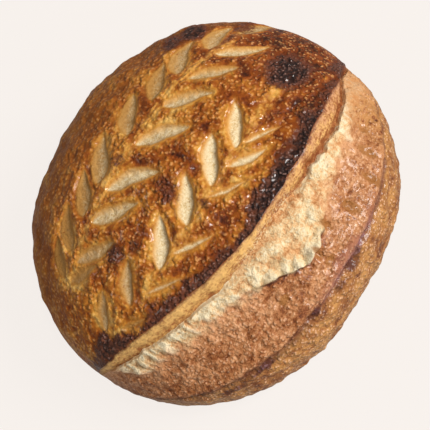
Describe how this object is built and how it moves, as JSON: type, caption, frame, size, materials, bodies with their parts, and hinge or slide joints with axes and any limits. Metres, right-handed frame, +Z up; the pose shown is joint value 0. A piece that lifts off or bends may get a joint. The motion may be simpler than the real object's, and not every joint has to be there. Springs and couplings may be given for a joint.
{
  "type": "sourdough loaf",
  "caption": "Oval hearth-baked sourdough loaf with a lifted, charred ear, a torn pale belly and scored wheat stalks in its crust.",
  "frame": {"origin": "middle of the flat base, at the height of the surface that the loaf rests on", "axes": "+X along the loaf's long axis, towards the end with the round char mark; +Y across, from the torn belly towards the scored side; +Z up"},
  "size_m": [0.2462, 0.2162, 0.0982],
  "materials": {
    "crust": "browned, blistered bread crust with a low uneven sheen; pale dry crumb where it is cut or torn"
  },
  "bodies": {
    "root": {"loaf": "crust"}
  },
  "joints": []
}
